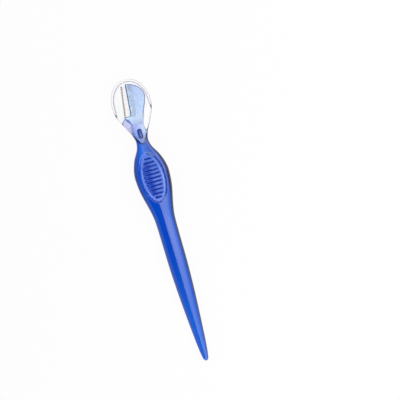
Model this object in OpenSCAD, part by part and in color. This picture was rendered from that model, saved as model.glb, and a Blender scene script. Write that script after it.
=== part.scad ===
// Eyebrow razor with a clear push-on cap.
// X runs across the razor with the blade on the minus side, Y runs from the tail to the cap,
// and Z points out of the front face. The razor lies on its back on Z = 0.

/* [Handle] */
// Length of the handle, from the tail tip to the tips of the horns
handle_l = 128.2; // [118:0.2:140]
// Width of the grip at its widest
grip_w = 19; // [17.6:0.1:21]
// Thickness of the grip without its pads
grip_t = 7.4; // [7:0.1:8.4]
// Length of the rounding of the tail tip
tail_round = 1.6; // [1:0.1:2.4]
// Width of the narrowest place of the neck
neck_w = 6.8; // [6.6:0.1:7.6]
// Width over the horns, which is also the width of the cap's mouth
mouth_w = 8.9; // [8.4:0.1:9.6]

/* [Grip pads] */
// Length of a pad
pad_l = 26; // [22:0.5:28]
// Width of a pad
pad_w = 12.4; // [11:0.2:13.4]
// How far a pad stands out of the grip
pad_rise = 0.3; // [0.2:0.05:0.5]
// Number of grooves across a pad
groove_n = 11; // [7:2:11]
// Distance from one groove to the next
groove_pitch = 2.15; // [1.9:0.05:2.2]
// Width of a groove
groove_w = 1.05; // [0.8:0.05:1.2]
// Depth of a groove in the middle of the pad
groove_d = 0.55; // [0.4:0.05:0.8]
// Smooth margin between the grooves and the rim of the pad
groove_margin = 1.6; // [1.2:0.1:2]

/* [Neck core] */
// Thickness of the core above the seats
core_t = 3.4; // [3:0.1:3.6]
// Width of the core at its upper end
core_w = 6.6; // [6:0.1:6.8]
// How far the core stands out above the horns
core_rise = 4.6; // [4:0.1:5.4]
// Length of the seats, from the tip of the tongues
seat_l = 1.5; // [1.2:0.1:1.8]
// Length of the snap lug
lug_l = 4.6; // [4:0.1:5]
// Width of the snap lug
lug_w = 1.8; // [1.4:0.1:2]

/* [Head] */
// Thickness of the front plate
plate_t = 0.8; // [0.7:0.05:1]
// Thickness of the cover behind the blade
cover_t = 0.8; // [0.6:0.05:1]
// How far the plate's top stands above the blade's upper end
plate_over = 0.54; // [0.3:0.02:0.9]
// Height of the shoulder under the blade above the horns
shoulder_y = 9.9; // [9:0.1:10.5]
// Reach of the shoulder towards the blade side
shoulder_reach = 5.8; // [5.4:0.1:6.2]
// Reach of the side fin
fin_reach = 7.2; // [6.4:0.1:7.4]
// Thickness of the side fin
fin_t = 0.9; // [0.7:0.05:1.2]
// Width of the bead along the blade
bead_w = 0.8; // [0.6:0.05:1]
// Height of the bead over the plate
bead_rise = 0.35; // [0.2:0.05:0.5]
// Width of the tang in the handle's socket
tang_w = 4.4; // [3.6:0.1:4.8]
// Length of the tang below the core's end
tang_l = 8; // [6:0.5:9]
// Radius of the stakes that hold the blade
stake_r = 0.8; // [0.6:0.05:1]
// Radius of the corner between the plate's blade side and the shoulder
corner_r = 1.5; // [1:0.1:2]
// Radius of the shoulder's nose
shoulder_r = 0.5; // [0.3:0.05:0.6]

/* [Blade] */
// Length of the blade
blade_l = 17; // [16:0.1:17.2]
// Width of the blade, from its edge to its hidden side
blade_w = 6.2; // [5.8:0.1:6.6]
// Thickness of the blade
blade_t = 0.2; // [0.15:0.05:0.3]
// Width of the ground bevel
bevel_w = 0.7; // [0.5:0.05:0.9]
// Distance from the cutting edge to the stakes
stake_in = 4.4; // [4.2:0.1:4.8]
// Distance between the two stakes
stake_gap = 8.6; // [7:0.2:10]
// Lean of the cutting edge, in degrees, with its top towards the plate
blade_lean = 8.5; // [6:0.5:9]
// Distance from the middle line to the cutting edge at its lower end
edge_x = 5.5; // [5.3:0.05:5.8]

/* [Comb guard] */
// Thickness of the guard's sheet
guard_t = 0.12; // [0.1:0.01:0.2]
// How far the guard reaches over each face of the blade
guard_reach = 0.75; // [0.75:0.05:0.95]
// Distance from one tooth to the next
tooth_pitch = 0.85; // [0.7:0.05:1]
// Width of a gap between teeth
tooth_gap = 0.42; // [0.35:0.01:0.5]

/* [Cap] */
// Width of the cap at its widest
cap_w = 21.4; // [20.8:0.1:22.4]
// Thickness of the cap, and of the neck between its tongues
cap_t = 6.6; // [6.4:0.1:6.8]
// Distance from the horns up to the cap's widest place
cap_side_l = 16; // [15:0.2:17]
// Length of the tongues below the horns
tongue_l = 5.8; // [5.4:0.1:6.4]
// Radius of the tongues' tips
tongue_tip_r = 1; // [0.8:0.1:1.2]
// Thickness of the cap's side walls at its widest
cap_wall = 1.3; // [1.2:0.05:1.4]
// Depth of the cap's cavity
cavity_t = 4.4; // [4.4:0.05:4.6]
// Length of the window over the lug
window_l = 5.8; // [5.4:0.1:6]
// Width of the window over the lug
window_w = 2.6; // [2.4:0.1:3]
// Distance from the tongue's tip to the window
window_up = 2.2; // [2:0.1:2.5]

/* [Fits] */
// Gap between the cap's tongues and the V-shaped ledges that they lie in
tongue_gap = 0.12; // [0.08:0.01:0.2]
// Gap between each seat of the core and the cap's inner face
seat_gap = 0.1; // [0.05:0.01:0.15]
// Gap all round the tang in its socket
socket_gap = 0.05; // [0.03:0.01:0.08]
// Gap round the stakes in the blade and in the cover
stake_fit = 0.05; // [0.03:0.01:0.08]
// Gap between the blade's lower end and the shoulder, and under the cover
end_gap = 0.15; // [0.1:0.05:0.3]
// Gap between the snap lug's top and the cap's inner face
lug_gap = 0.1; // [0.05:0.01:0.15]
// Gap between the plate's top and the end of the cap's cavity
head_clear = 1.1; // [0.8:0.1:1.6]
// Gap between the plate's side and the cap's side wall
side_clear = 1.05; // [0.8:0.05:1.6]

/* [Hidden] */

$fn = 48;
overrun = 1;
ring_n = 28;
cap_ring_n = 40;
oval_n = 72;
arc_n = 12;

head_l = shoulder_y + end_gap + blade_l * cos(blade_lean) + plate_over;
head_reach = cap_w / 2 - cap_wall - side_clear;
cap_top_l = head_l + head_clear + cap_wall - cap_side_l;
overall_l = handle_l + cap_side_l + cap_top_l;
rest_h = grip_t / 2 + pad_rise;
head_t = plate_t + blade_t + cover_t;
front_face = blade_t / 2 + plate_t;
rear_face = -blade_t / 2 - cover_t;
seat_t = cavity_t - 2 * seat_gap;

// The body in local places: the tail tip at Y = 0 and the middle plane at Z = 0.
// Each row is a share of the handle's length and a share of the width or height that it follows.
neck_share = 0.968;
pad_share = 0.802;
pad_y = pad_share * handle_l;
width_shares = [
    [0.008, 0.150], [0.042, 0.222], [0.085, 0.283], [0.118, 0.319], [0.186, 0.385],
    [0.254, 0.448], [0.321, 0.497], [0.423, 0.547], [0.558, 0.564], [0.625, 0.590],
    [0.659, 0.653], [0.693, 0.750], [0.727, 0.858], [0.760, 0.944], [0.807, 1.000],
    [0.832, 0.990], [0.862, 0.906], [0.896, 0.733], [0.930, 0.470], [0.946, 0.395],
    [neck_share, neck_w / grip_w], [1.000, mouth_w / grip_w]];
front_shares = [
    [0.000, -0.30], [0.110, 0.12], [0.250, 0.49], [0.420, 0.68], [0.620, 0.72],
    [0.717, 0.89], [0.811, 1.00], [0.870, 0.96], [0.945, cap_t / grip_t], [1.000, cap_t / grip_t]];
rear_shares = [
    [0.000, 1.00], [0.620, 1.00], [0.700, 0.98], [0.811, grip_t / 2 / rest_h],
    [0.870, 0.90], [0.945, cap_t / 2 / rest_h], [1.000, cap_t / 2 / rest_h]];
squareness_table = [[0.000, 2.0], [0.600, 2.2], [0.811, 2.3], [0.900, 2.6], [0.960, 4.0], [1.000, 5.0]];

// Half-width of the cap between the horns and its widest place, as shares of both spans.
cap_side_shares = [
    [0.000, 0.000], [0.125, 0.185], [0.293, 0.420], [0.485, 0.655], [0.630, 0.822],
    [0.798, 0.948], [1.000, 1.000]];
cap_squareness = 5;
top_squareness = 2.1;

// Smooth curve through a table's rows, with the slope at each row taken from its neighbours.
function slope(t, i) = i == 0 ? (t[1][1] - t[0][1]) / (t[1][0] - t[0][0])
    : i == len(t) - 1 ? (t[i][1] - t[i - 1][1]) / (t[i][0] - t[i - 1][0])
    : (t[i + 1][1] - t[i - 1][1]) / (t[i + 1][0] - t[i - 1][0]);
function row_of(x, t, i = 0) = i >= len(t) - 2 || x <= t[i + 1][0] ? i : row_of(x, t, i + 1);
function hermite(u, p, q, a, b) = (2 * u ^ 3 - 3 * u ^ 2 + 1) * p + (u ^ 3 - 2 * u ^ 2 + u) * a
    + (3 * u ^ 2 - 2 * u ^ 3) * q + (u ^ 3 - u ^ 2) * b;
function between(x, t, i) = let (span = t[i + 1][0] - t[i][0], u = (x - t[i][0]) / span)
    hermite(u, t[i][1], t[i + 1][1], slope(t, i) * span, slope(t, i + 1) * span);
function smooth(x, t) = x <= t[0][0] ? t[0][1]
    : x >= t[len(t) - 1][0] ? t[len(t) - 1][1] : between(x, t, row_of(x, t));

// One point of a rounded-square ring, from -1 to 1 both ways.
function power(v, e) = sign(v) * abs(v) ^ e;
function round_square(a, n) = [power(cos(a), 2 / n), power(sin(a), 2 / n)];

// Rings of points, each a list of the same length, joined into a closed skin.
module skin(rings) {
    n = len(rings[0]);
    last = len(rings) - 1;
    sides = [for (i = [0:last - 1], j = [0:n - 1])
        each let (a = i * n + j, b = i * n + (j + 1) % n) [[a, b, b + n], [a, b + n, a + n]]];
    ends = [[for (j = [n - 1:-1:0]) j], [for (j = [0:n - 1]) last * n + j]];
    polyhedron(points = [for (r = rings) each r], faces = concat(sides, ends), convexity = 6);
}

// The handle's half-width, and the heights of its front and of its back, at a distance from the tail tip.
function tail_share(y) = y >= tail_round ? 1 : sqrt(1 - (1 - y / tail_round) ^ 2);
function half_w(y) = grip_w / 2 * smooth(y / handle_l, width_shares) * tail_share(y);
function front_z(y) = grip_t / 2 * smooth(y / handle_l, front_shares);
function rear_z(y) = -rest_h * min(1, smooth(y / handle_l, rear_shares));
function handle_ring(y, rise) = let (
    n = smooth(y / handle_l, squareness_table),
    mid = (front_z(y) + rear_z(y)) / 2,
    half_t = ((front_z(y) - rear_z(y)) / 2) * tail_share(y) + rise)
    [for (j = [0:ring_n - 1]) let (p = round_square(360 * j / ring_n, n))
        [half_w(y) * p[0], y, mid + half_t * p[1]]];

// Distances from the tail tip of the rings, closer together on the rounded tip and where the outline turns.
tip_shares = [0.02, 0.12, 0.3, 0.6, 1];
body_shares = [
    0.03, 0.06, 0.09, 0.13, 0.17, 0.22, 0.27, 0.32, 0.37, 0.42, 0.48, 0.54, 0.58, 0.61,
    0.635, 0.655, 0.675, 0.695, 0.715, 0.735, 0.755, 0.775, 0.795, 0.811, 0.827, 0.843, 0.858,
    0.872, 0.885, 0.897, 0.908, 0.919, 0.93, 0.942, 0.954, 0.966, 0.978, 0.989, 1];
ring_places = concat([for (s = tip_shares) s * tail_round], [for (s = body_shares) s * handle_l]);

// Moves a piece from its local place to its place on the rest surface, centred along the razor.
module placed() {
    translate([0, -overall_l / 2, rest_h]) children();
}

// Oval of a pad, and the slots across it.
module pad_oval(inset = 0) {
    polygon([for (a = [0:360 / oval_n:359]) [(pad_w / 2 - inset) * cos(a), pad_y + (pad_l / 2 - inset) * sin(a)]]);
}

module pad_slots() {
    middle = (groove_n - 1) / 2;
    for (i = [0:groove_n - 1]) {
        y = (i - middle) * groove_pitch;
        half = (pad_w / 2 - groove_margin) * sqrt(1 - (y / (pad_l / 2 - groove_margin + groove_w / 2)) ^ 2);
        run = max(half - groove_w / 2, groove_w / 2);
        translate([0, pad_y + y]) {
            square([2 * run, groove_w], center = true);
            for (side = [-1, 1])
                translate([side * run, 0]) circle(d = groove_w);
        }
    }
}

module front_pad() {
    places = [for (y = ring_places) if (y > pad_y - pad_l && y < handle_l * neck_share) y];
    intersection() {
        skin([for (y = places) handle_ring(y, pad_rise)]);
        linear_extrude(rest_h + overrun) pad_oval();
    }
}

module rear_pad() {
    translate([0, 0, -rest_h]) linear_extrude(rest_h) pad_oval();
}

// The tongue's outline: a V with a rounded tip, as wide as the mouth at the horns.
tongue_slope = atan((mouth_w / 2) / tongue_l);
module tongue_outline(grow = 0, above = 0) {
    tip_y = handle_l - tongue_l + tongue_tip_r;
    side_x = mouth_w / 2 - tongue_tip_r / 2 + grow;
    arc = [for (a = [180 + tongue_slope:(180 - 2 * tongue_slope) / arc_n:360 - tongue_slope])
        [(tongue_tip_r + grow) * cos(a), tip_y + (tongue_tip_r + grow) * sin(a)]];
    polygon(concat(arc, [[side_x, handle_l], [side_x, handle_l + above], [-side_x, handle_l + above],
        [-side_x, handle_l]]));
}

// Core of the neck: as wide as the neck below, and narrowing to the head.
module core_outline() {
    polygon([
        [-neck_w / 2, handle_l - tongue_l - overrun], [neck_w / 2, handle_l - tongue_l - overrun],
        [neck_w / 2, handle_l - tongue_l / 2], [core_w / 2, handle_l], [core_w / 2, handle_l + core_rise],
        [-core_w / 2, handle_l + core_rise], [-core_w / 2, handle_l], [-neck_w / 2, handle_l - tongue_l / 2]]);
}

module lug() {
    top = cavity_t / 2 - lug_gap;
    run = (lug_l - lug_w) / 2;
    y = handle_l - tongue_l + window_up + window_l / 2;
    translate([0, y, 0]) linear_extrude(top) {
        square([lug_w, 2 * run], center = true);
        for (side = [-1, 1])
            translate([0, side * run]) circle(d = lug_w);
    }
}

module handle() {
    seat_y = handle_l - tongue_l + seat_l;
    color("royalblue") placed() difference() {
        union() {
            difference() {
                union() {
                    skin([for (y = ring_places) handle_ring(y, 0)]);
                    front_pad();
                    rear_pad();
                }
                for (side = [0, 1]) mirror([0, 0, side]) {
                    translate([0, 0, seat_t / 2]) linear_extrude(cap_t) tongue_outline(tongue_gap, overrun);
                    translate([0, seat_y, core_t / 2]) linear_extrude(cap_t)
                        intersection() {
                            translate([0, -seat_y]) tongue_outline(tongue_gap, overrun);
                            translate([-mouth_w / 2, 0]) square([mouth_w, tongue_l + overrun]);
                        }
                }
                translate([0, 0, rest_h - groove_d]) linear_extrude(groove_d + overrun) pad_slots();
                translate([0, 0, -rest_h - overrun]) linear_extrude(groove_d + overrun) pad_slots();
            }
            translate([0, 0, -core_t / 2]) linear_extrude(core_t) core_outline();
            lug();
        }
        translate([-tang_w / 2 - socket_gap, handle_l + core_rise - tang_l - socket_gap, -head_t / 2 - socket_gap])
            cube([tang_w + 2 * socket_gap, tang_l + socket_gap + overrun, head_t + 2 * socket_gap]);
    }
}

// Outline of the head's plate above the core, from shares of its reach and of its length above the horns.
right_shares = [
    [0.425, 0.190], [0.555, 0.322], [0.642, 0.400], [0.772, 0.486], [0.872, 0.569],
    [0.966, 0.650], [1.000, 0.720], [0.930, 0.800], [0.746, 0.881], [0.473, 0.941],
    [0.208, 0.974], [-0.065, 1.000]];
plate_corner_share = [-0.250, 0.425];

// The fin's outer side, from the shoulder down, as shares of its reach and of the shoulder's height.
fin_shares = [[0.94, 0.86], [1.00, 0.76], [0.95, 0.58], [0.83, 0.33], [0.66, 0.07]];

function bend(p, q, r, s, u) = 0.5 * (2 * q + (r - p) * u + (2 * p - 5 * q + 4 * r - s) * u ^ 2
    + (3 * q - p - 3 * r + s) * u ^ 3);
function through(t, steps) = let (n = len(t)) [for (i = [0:n - 2], k = [0:steps - 1])
    bend(t[max(i - 1, 0)], t[i], t[i + 1], t[min(i + 2, n - 1)], k / steps)];

module plate_outline() {
    right = [for (p = through(right_shares, 3)) [p[0] * head_reach, handle_l + p[1] * head_l]];
    top_share = right_shares[len(right_shares) - 1];
    top_left = [top_share[0] * head_reach, handle_l + top_share[1] * head_l];
    corner = [plate_corner_share[0] * head_reach - corner_r, handle_l + shoulder_y + corner_r];
    bow = [for (a = [0:-15:-90]) corner + corner_r * [cos(a), sin(a)]];
    tip = [-shoulder_reach + shoulder_r, handle_l + shoulder_y - shoulder_r];
    nose = [for (a = [90:30:240]) tip + shoulder_r * [cos(a), sin(a)]];
    foot = [[-core_w / 2, handle_l + core_rise + overrun], [-core_w / 2, handle_l + core_rise]];
    polygon(concat([[core_w / 2, handle_l + core_rise]], right, [top_left], bow, nose, foot));
}

// Thin fin between the shoulder and the horn, on the blade side.
module fin_outline() {
    outer = [for (p = fin_shares) [-fin_reach * p[0], handle_l + shoulder_y * p[1]]];
    foot = outer[len(outer) - 1][1];
    beside = -core_w / 2 - socket_gap;
    above = handle_l + core_rise + socket_gap;
    polygon(concat([[-shoulder_reach, handle_l + shoulder_y - shoulder_r]], outer, [[beside, foot],
        [beside, above], [beside + bead_w, above], [beside + bead_w, handle_l + shoulder_y - shoulder_r]]));
}

// A child drawn in the blade's own frame: X from the cutting edge inwards, Y up along the edge.
module along_edge() {
    translate([-edge_x, handle_l + shoulder_y + end_gap]) rotate(-blade_lean) children();
}

module stake_places() {
    along_edge() for (side = [-1, 1])
        translate([stake_in, blade_l / 2 + side * stake_gap / 2]) children();
}

module blade_carrier() {
    heel_y = handle_l + shoulder_y;
    color("lightsteelblue") placed() {
        difference() {
            union() {
                translate([0, 0, rear_face]) linear_extrude(head_t) intersection() {
                    plate_outline();
                    translate([-cap_w / 2, handle_l]) square([cap_w, shoulder_y]);
                }
                translate([0, 0, blade_t / 2]) linear_extrude(plate_t) plate_outline();
                translate([0, 0, -fin_t / 2]) linear_extrude(fin_t) fin_outline();
                translate([-tang_w / 2, handle_l + core_rise - tang_l, rear_face])
                    cube([tang_w, tang_l + overrun, head_t]);
                translate([0, 0, front_face - plate_t / 2]) linear_extrude(bead_rise + plate_t / 2)
                    difference() {
                        intersection() {
                            plate_outline();
                            translate([-cap_w / 2, heel_y - bead_w]) square([cap_w / 2, head_l]);
                        }
                        translate([bead_w, -bead_w]) plate_outline();
                    }
            }
            along_edge() translate([-blade_w, -end_gap, -blade_t / 2])
                cube([2 * blade_w + end_gap, blade_l + end_gap, blade_t]);
        }
        translate([0, 0, rear_face]) linear_extrude(head_t - plate_t / 2) stake_places() circle(r = stake_r);
    }
}

module blade() {
    color("gainsboro") placed() difference() {
        along_edge() translate([0, blade_l, 0]) rotate([90, 0, 0]) linear_extrude(blade_l)
            polygon([[0, 0], [bevel_w, blade_t / 2], [blade_w, blade_t / 2],
                [blade_w, -blade_t / 2], [bevel_w, -blade_t / 2]]);
        translate([0, 0, -overrun]) linear_extrude(2 * overrun) stake_places() circle(r = stake_r + stake_fit);
    }
}

module comb_guard() {
    half = blade_t / 2;
    teeth = floor((blade_l - tooth_pitch) / tooth_pitch);
    color("silver") placed() along_edge() difference() {
        translate([0, blade_l, 0]) rotate([90, 0, 0]) linear_extrude(blade_l) difference() {
            translate([-guard_t - half, -half - guard_t])
                square([guard_reach + half + guard_t, 2 * (half + guard_t)]);
            polygon([[0, 0], [bevel_w, half], [blade_w, half], [blade_w, -half], [bevel_w, -half]]);
        }
        for (i = [0:teeth])
            translate([-overrun - guard_t, tooth_pitch / 2 + i * tooth_pitch, -overrun])
                cube([overrun + guard_t + bevel_w / 2, tooth_gap, 2 * overrun]);
    }
}

module blade_cover() {
    low = handle_l + shoulder_y + end_gap;
    color("lightskyblue") placed() difference() {
        translate([0, 0, rear_face]) linear_extrude(cover_t) intersection() {
            plate_outline();
            translate([-cap_w / 2, low]) square([cap_w, head_l]);
        }
        translate([0, 0, rear_face - overrun]) linear_extrude(cover_t + 2 * overrun)
            stake_places() circle(r = stake_r + stake_fit);
    }
}

// The cap's half-width and half-thickness at a distance above the horns.
function cap_half_w(y) = y <= 0 ? mouth_w / 2
    : y <= cap_side_l ? mouth_w / 2 + (cap_w - mouth_w) / 2 * smooth(y / cap_side_l, cap_side_shares)
    : cap_w / 2 * (1 - ((y - cap_side_l) / cap_top_l) ^ top_squareness) ^ (1 / top_squareness);
function cap_half_t(y) = y <= cap_side_l ? cap_t / 2
    : cap_t / 2 * (1 - ((y - cap_side_l) / cap_top_l) ^ cap_squareness) ^ (1 / cap_squareness);
function cap_ring(y) = [for (j = [0:cap_ring_n - 1])
    let (p = round_square(360 * j / cap_ring_n, cap_squareness))
    [cap_half_w(y) * p[0], handle_l + y, cap_half_t(y) * p[1]]];

cap_top_angles = [8, 16, 24, 32, 40, 48, 56, 63, 70, 76, 81, 85, 88];
cap_places = concat([-tongue_l - overrun, 0], [for (i = [1:14]) cap_side_l * i / 14],
    [for (a = cap_top_angles) cap_side_l + cap_top_l * sin(a) ^ (2 / top_squareness)]);

module cavity_outline() {
    half = cap_w / 2 - cap_wall;
    rise = cap_top_l - cap_wall;
    low = handle_l - tongue_l - overrun;
    polygon(concat([[-half, low], [half, low]],
        [for (a = [0:5:180]) let (p = round_square(a, top_squareness))
            [half * p[0], handle_l + cap_side_l + rise * p[1]]]));
}

module cap_window() {
    run = (window_l - window_w) / 2;
    translate([0, handle_l - tongue_l + window_up + window_l / 2]) {
        square([window_w, 2 * run], center = true);
        for (side = [-1, 1])
            translate([0, side * run]) circle(d = window_w);
    }
}

module cap() {
    color("white", 0.35) placed() difference() {
        intersection() {
            skin([for (y = cap_places) cap_ring(y)]);
            translate([0, 0, -cap_t]) linear_extrude(2 * cap_t) union() {
                tongue_outline(0, overrun);
                translate([-cap_w, handle_l]) square([2 * cap_w, cap_side_l + cap_top_l + overrun]);
            }
        }
        translate([0, 0, -cavity_t / 2]) linear_extrude(cavity_t) cavity_outline();
        linear_extrude(cap_t) cap_window();
    }
}

handle();
blade_carrier();
blade();
comb_guard();
blade_cover();
cap();
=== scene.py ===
"""Looks of the eyebrow razor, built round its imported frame.

Lengths of the razor are millimetres in its own places: X across with the blade on the minus side, Y up
from the tail tip and Z out of the front face, with the middle plane at Z = 0. put() turns them into the
frame. Those of the stage are metres in the frame.
"""
import math

import bpy
import numpy as np
from mathutils import Matrix


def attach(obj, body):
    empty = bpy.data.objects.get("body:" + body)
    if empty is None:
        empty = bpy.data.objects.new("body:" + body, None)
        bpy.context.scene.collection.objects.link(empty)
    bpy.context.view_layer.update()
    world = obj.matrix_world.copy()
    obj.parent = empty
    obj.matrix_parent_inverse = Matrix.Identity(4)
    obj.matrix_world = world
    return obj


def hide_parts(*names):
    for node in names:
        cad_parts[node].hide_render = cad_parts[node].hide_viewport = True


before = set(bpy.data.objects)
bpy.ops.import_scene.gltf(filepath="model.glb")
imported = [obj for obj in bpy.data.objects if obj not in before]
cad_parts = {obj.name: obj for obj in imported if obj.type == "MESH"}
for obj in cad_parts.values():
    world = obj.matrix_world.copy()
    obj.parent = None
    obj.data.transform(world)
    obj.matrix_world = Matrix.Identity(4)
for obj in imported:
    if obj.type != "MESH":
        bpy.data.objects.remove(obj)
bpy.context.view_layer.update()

MM = 0.001

# Handle
HANDLE_L = 128.2
GRIP_W, GRIP_T = 19.0, 7.4
TAIL_ROUND = 1.6
NECK_W, MOUTH_W = 6.8, 8.9

# Grip pads
PAD_Y_SHARE = 0.802
PAD_L, PAD_W, PAD_RISE = 26.0, 12.4, 0.3
PAD_DROP, REAR_DROP = 0.75, 0.12
PAD_EDGE, PAD_ROUND_ABOUT = 0.16, 1.0
GROOVE_N, GROOVE_PITCH, GROOVE_W, GROOVE_D = 11, 2.15, 1.05, 0.55
GROOVE_MARGIN, GROOVE_SOFT, GROOVE_LIP, GROOVE_STEPS = 1.6, 0.12, 1.25, 14
RIM_DEPTH, RIM_W, RIM_OUT = 0.46, 0.4, 0.3
RIM_LEAST_SHARE, RIM_START_SHARE = 0.25, 0.75

# Neck core
SEAT_T, SEAT_L = 4.2, 1.5
CORE_T, CORE_W, CORE_RISE, CORE_ROUND = 3.4, 6.6, 4.6, 0.32
LUG_L, LUG_W, LUG_TOP, LUG_ROUND = 4.6, 1.8, 2.1, 0.3
WELL_D = 0.12

# Head
PLATE_T, COVER_T, BLADE_T = 0.8, 0.8, 0.2
SHOULDER_Y, SHOULDER_REACH, SHOULDER_R = 9.9, 5.8, 0.5
CORNER_R = 1.5
FIN_REACH, FIN_T = 7.2, 0.9
PLATE_RIM = 0.4
BEAD_W, BEAD_TOP, BEAD_IN = 0.8, 0.35, 0.75
GUSSET_RISE = 0.04
GUARD_FOLD, GUARD_W = 0.35, 0.4
TANG_W, TANG_L = 4.4, 8.0
BLADE_L, BLADE_W, BLADE_LEAN, EDGE_X = 17.0, 6.2, 8.5, 5.5
PLATE_OVER = 0.54
STAKE_R, STAKE_IN, STAKE_GAP = 0.8, 4.4, 8.6

# Cap
CAP_W, CAP_T = 21.4, 6.6
CAP_SIDE_L = 16.0
TONGUE_L, TONGUE_TIP_R = 5.8, 1.0
CAP_WALL, CAVITY_T = 1.3, 4.4
WINDOW_L, WINDOW_W, WINDOW_UP = 5.8, 2.6, 2.2
CAP_SQUARENESS, TOP_SQUARENESS, CAVITY_SQUARENESS = 5.0, 2.1, 7.0

# Fits and cuts
TONGUE_GAP, SOCKET_GAP, END_GAP = 0.12, 0.05, 0.15
HEAD_CLEAR, SIDE_CLEAR = 1.1, 1.05
OVERRUN = 1.0
MIN_HALF = 0.1
MITRE_LEAST = 0.6
TINY = 1e-6

PAD_Y = PAD_Y_SHARE * HANDLE_L
REST_H = GRIP_T / 2 + PAD_RISE
HEAD_T = PLATE_T + BLADE_T + COVER_T
FRONT_FACE = BLADE_T / 2 + PLATE_T
REAR_FACE = -BLADE_T / 2 - COVER_T
LUG_Y = HANDLE_L - TONGUE_L + WINDOW_UP + WINDOW_L / 2
HEAD_L = SHOULDER_Y + END_GAP + BLADE_L * math.cos(math.radians(BLADE_LEAN)) + PLATE_OVER
HEAD_REACH = CAP_W / 2 - CAP_WALL - SIDE_CLEAR
CAP_TOP_L = HEAD_L + HEAD_CLEAR + CAP_WALL - CAP_SIDE_L
ORIGIN = np.array([0.0, (HANDLE_L + CAP_SIDE_L + CAP_TOP_L) / 2, -REST_H])

# Edges that turn by more degrees than this look sharp
HANDLE_SHARP, PLATE_SHARP, CAP_SHARP = 50, 35, 40

# How closely the skins are divided: rings, points of a ring, and turns in degrees
TAIL_TURNS = (12, 22, 33, 44, 56, 68, 80)
STEM_RINGS, NECK_RINGS, RING_POINTS = 80, 30, 121
CAP_SIDE_RINGS, CAP_TOP_RINGS, CAVITY_TOP_RINGS, LAST_TURN = 41, 46, 40, 87.5

# Depth in metres of the fine marks on the materials
MARK_DEPTH = 0.00001


def srgb(r, g, b):
    """A colour as it shows on screen, 0 to 255, in linear light."""
    linear = [c / 255 / 12.92 if c <= 10 else ((c / 255 + 0.055) / 1.055) ** 2.4 for c in (r, g, b)]
    return np.array(linear)


# Colours of the handle
# The third colour is painted light for the right half, where the key lamp falls
DEEP_BLUE, THIN_BLUE, LIT_BLUE = srgb(0, 75, 206), srgb(26, 102, 220), srgb(0, 93, 214)
# Painted glow along the sides, dark sides partly of the resin's depth and partly painted shade, and painted
# shade on the right edge
SIDE_GLOW_BLUE, EDGE_DEPTH_AND_SHADE_BLUE, RIGHT_EDGE_PAINTED_SHADE = srgb(4, 86, 212), srgb(0, 36, 136), srgb(0, 12, 76)
# Painted sheen on the band round a pad, left and right
BAND_SHEEN_LEFT, BAND_SHEEN_RIGHT = srgb(0, 98, 230), srgb(76, 124, 238)
# Painted shade in the grooves and along the line round a pad
GROOVE_SHADE_BLUE, RIM_SHADE_BLUE = srgb(0, 52, 166), srgb(0, 42, 146)
# A clear blue neck, and painted shade on its right half
NECK_BLUE, NECK_PAINTED_SHADE = srgb(46, 116, 240), srgb(12, 84, 190)
# Painted shadow round the tongues' V and painted shade on the horns' sides
V_SHADOW_BLUE, HORN_SHADE_BLUE = srgb(0, 12, 84), srgb(8, 12, 90)
CORE_LOW, CORE_BLUE, CORE_TOP = srgb(84, 136, 230), srgb(143, 175, 239), srgb(164, 174, 222)
# Painted shade in the well round the lug, and the lug's own blue
WELL_SHADE_BLUE, LUG_BLUE = srgb(0, 28, 120), srgb(40, 76, 176)

# Colours of the head and the cap
NECK_PALE, PLATE_PALE, TOP_PALE = srgb(181, 197, 233), srgb(203, 219, 237), srgb(183, 202, 234)
# Painted shade on the plate's rims, and the gusset's blue
PLATE_RIM_SHADE, GUSSET_BLUE = srgb(66, 92, 158), srgb(50, 98, 180)
# Painted shade on the rims and the left side below the shoulder, strong and faint
STROKE_SHADE_BLUE, FAINT_STROKE_SHADE = srgb(14, 52, 140), srgb(98, 114, 172)
# The fin's clear resin and painted shade on its rims
FIN_CLEAR, FIN_RIM_SHADE = srgb(206, 205, 232), srgb(136, 134, 172)
# Painted highlight on the bead and painted shade on its blade side
BEAD_HIGHLIGHT, BEAD_SHADE_LINE = srgb(226, 254, 255), srgb(40, 100, 146)
COVER_DEEP, COVER_PALE = srgb(190, 208, 240), srgb(206, 222, 250)
THIN_PASS, CAP_PASS = srgb(205, 222, 250), (0.96, 0.965, 0.97)
HEAD_FLOW, CAP_HAZE = (0.88, 0.9, 0.94), (0.985, 0.99, 0.99)
# Bare steel, and painted blue of the light that reaches the steel through the plate
STEEL_BARE, STEEL_UNDER_PLATE_LIGHT = (0.97, 0.91, 0.88), (0.88, 0.9, 1.0)
GUARD_DARK, GUARD_PALE = (0.07, 0.06, 0.055), (0.94, 0.92, 0.91)
# Painted shade on the cap's steep outer and inner walls
CAP_RIM_SHADE, CAP_INNER_RIM_SHADE = srgb(150, 144, 172), srgb(232, 228, 238)

# What a colour gains in red, green and blue with each millimetre to the right
CORE_ACROSS = np.array([0.048, 0.052, 0.022])
PLATE_ACROSS = np.array([0.004, 0.001, -0.005])

# Where colours start along the razor, and the lengths over which they come in
LIT_START, LIT_FADE = 24.0, 24.0
NECK_START, NECK_FADE = 109.0, 7.0
HORN_FADE = 3.0
PLATE_FADE, TOP_FADE, RIM_FADE = 5.0, 9.0, 4.5

# How far the painted shadow reaches beside the V and the bare steel reaches in from the cutting edge, and
# the lengths over which they fade
V_LINE, V_FADE = 0.35, 0.75
EXPOSED_W, EXPOSED_FADE = 2.9, 0.4

# Lengths over which the painted light comes in to the right of the middle and the painted sheen inside a
# pad's rim
LIT_SIDE_FADE, BAND_FADE = 1.0, 0.5

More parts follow.
